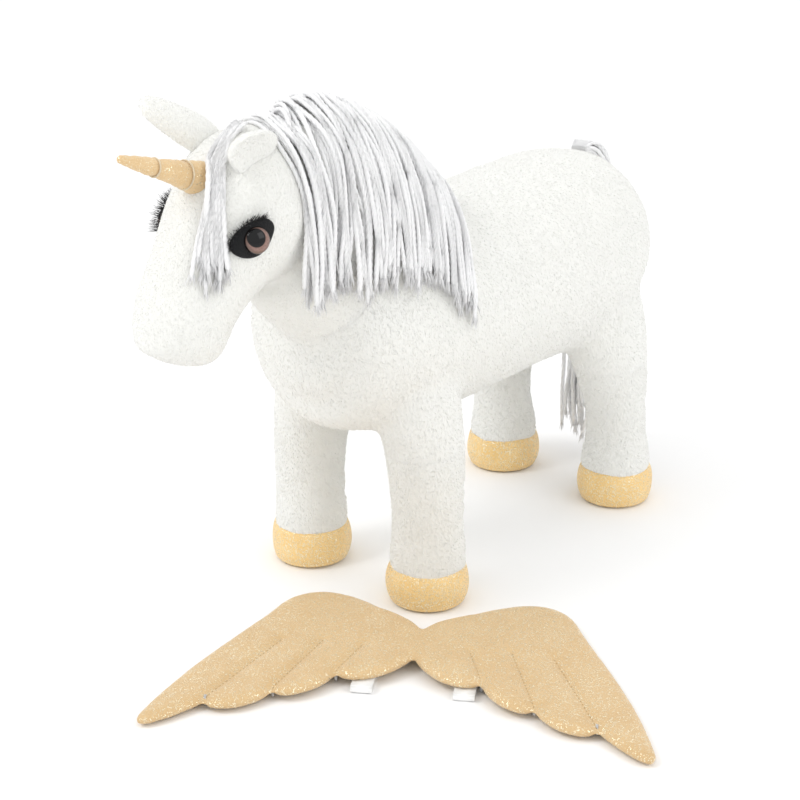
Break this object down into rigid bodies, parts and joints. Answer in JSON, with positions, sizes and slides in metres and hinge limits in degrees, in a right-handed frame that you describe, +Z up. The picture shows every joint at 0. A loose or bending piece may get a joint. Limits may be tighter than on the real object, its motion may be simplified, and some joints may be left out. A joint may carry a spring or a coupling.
{
  "type": "plush unicorn",
  "caption": "Stuffed white toy unicorn that stands on padded legs, with yarn mane and tail, a stitched horn and a removable pair of quilted wings.",
  "frame": {"origin": "middle of the whole set's footprint, on the surface it stands on", "axes": "+Z up, the nose points to -Y, the animal's left side is +X; the wings lie in front of it and to its left"},
  "size_m": [0.4112, 0.5922, 0.3974],
  "materials": {
    "plush": "short dense pile, matt",
    "wadding": "loose fibre",
    "yarn": "soft matt cotton",
    "gold_plush": "short pile with a light sheen",
    "gold_cloth": "velour with a fine glitter",
    "horn_cloth": "satin cloth with a light sheen",
    "gold_thread": "twisted metallic thread",
    "black_felt": "matt felt",
    "lash": "fine bristle",
    "eye": "polished dome",
    "plastic": "moulded",
    "board": "grey-brown board",
    "elastic": "woven elastic"
  },
  "bodies": {
    "trunk": {"trunk_filling": "wadding", "trunk_cover_left": "plush", "trunk_cover_right": "plush", "mane_tape": "wadding", "mane_yarn": "yarn", "tail_patch": "plush"},
    "head": {"head_filling": "wadding", "head_cover_left": "plush", "head_cover_right": "plush", "horn_cover": "horn_cloth", "horn_filling": "wadding", "horn_thread_near": "gold_thread", "horn_thread_far": "gold_thread", "eye_left": "eye", "eye_right": "eye", "eye_washer_left": "plastic", "eye_washer_right": "plastic", "felt_patch_left": "black_felt", "felt_patch_right": "black_felt", "lashes_left": "lash", "lashes_right": "lash", "forelock_yarn": "yarn"},
    "ear_left": {"ear_back_left": "plush", "ear_lining_left": "plush"},
    "ear_right": {"ear_back_right": "plush", "ear_lining_right": "plush"},
    "tail": {"tail_yarn": "yarn"},
    "wing_right": {"wing_top_right": "gold_cloth", "wing_under_right": "gold_cloth", "wing_wadding_right": "wadding", "elastic_band_right": "elastic"},
    "wing_left": {"wing_top_left": "gold_cloth", "wing_under_left": "gold_cloth", "wing_wadding_left": "wadding", "elastic_band_left": "elastic"},
    "leg_front_left": {"leg_filling_front_left": "wadding", "leg_cover_front_left": "plush", "hoof_cover_front_left": "gold_plush", "hoof_sole_front_left": "gold_plush", "sole_board_front_left": "board", "leg_rod_front_left": "plastic"},
    "leg_front_right": {"leg_filling_front_right": "wadding", "leg_cover_front_right": "plush", "hoof_cover_front_right": "gold_plush", "hoof_sole_front_right": "gold_plush", "sole_board_front_right": "board", "leg_rod_front_right": "plastic"},
    "leg_rear_left": {"leg_filling_rear_left": "wadding", "leg_cover_rear_left": "plush", "hoof_cover_rear_left": "gold_plush", "hoof_sole_rear_left": "gold_plush", "sole_board_rear_left": "board", "leg_rod_rear_left": "plastic"},
    "leg_rear_right": {"leg_filling_rear_right": "wadding", "leg_cover_rear_right": "plush", "hoof_cover_rear_right": "gold_plush", "hoof_sole_rear_right": "gold_plush", "sole_board_rear_right": "board", "leg_rod_rear_right": "plastic"}
  },
  "joints": [
    {"name": "head_nod", "type": "hinge", "parent": "trunk", "child": "head", "pos_m": [-0.11605, -0.14657, 0.321], "axis": [1, 0, 0], "range_deg": [-9, 9], "stiffness_Nm_per_rad": 1.5},
    {"name": "ear_bend_left", "type": "hinge", "parent": "head", "child": "ear_left", "pos_m": [-0.09085, -0.15457, 0.362], "axis": [1, 0, 0], "range_deg": [-20, 20], "stiffness_Nm_per_rad": 0.05},
    {"name": "ear_bend_right", "type": "hinge", "parent": "head", "child": "ear_right", "pos_m": [-0.14125, -0.15457, 0.362], "axis": [1, 0, 0], "range_deg": [-20, 20], "stiffness_Nm_per_rad": 0.05},
    {"name": "leg_bend_front_left", "type": "hinge", "parent": "trunk", "child": "leg_front_left", "pos_m": [-0.06905, -0.02457, 0.165], "axis": [1, 0, 0], "range_deg": [-5, 8], "stiffness_Nm_per_rad": 4},
    {"name": "leg_bend_front_right", "type": "hinge", "parent": "trunk", "child": "leg_front_right", "pos_m": [-0.16305, -0.02457, 0.165], "axis": [1, 0, 0], "range_deg": [-5, 8], "stiffness_Nm_per_rad": 4},
    {"name": "leg_bend_rear_left", "type": "hinge", "parent": "trunk", "child": "leg_rear_left", "pos_m": [-0.06905, 0.21443, 0.165], "axis": [1, 0, 0], "range_deg": [-8, 8], "stiffness_Nm_per_rad": 4},
    {"name": "leg_bend_rear_right", "type": "hinge", "parent": "trunk", "child": "leg_rear_right", "pos_m": [-0.16305, 0.21443, 0.165], "axis": [1, 0, 0], "range_deg": [-8, 8], "stiffness_Nm_per_rad": 4},
    {"name": "tail_swing", "type": "hinge", "parent": "trunk", "child": "tail", "pos_m": [-0.11605, 0.25543, 0.277], "axis": [1, 0, 0], "range_deg": [0, 50]},
    {"name": "wings_lift", "type": "slide", "parent": "trunk", "child": "wing_right", "axis": [0, 0, 1], "range_m": [0, 0.1]},
    {"name": "wings_fold", "type": "hinge", "parent": "wing_right", "child": "wing_left", "pos_m": [-0.01205, -0.08657, 0.01664], "axis": [0.5225, -0.8526, 0], "range_deg": [0, 60]}
  ]
}
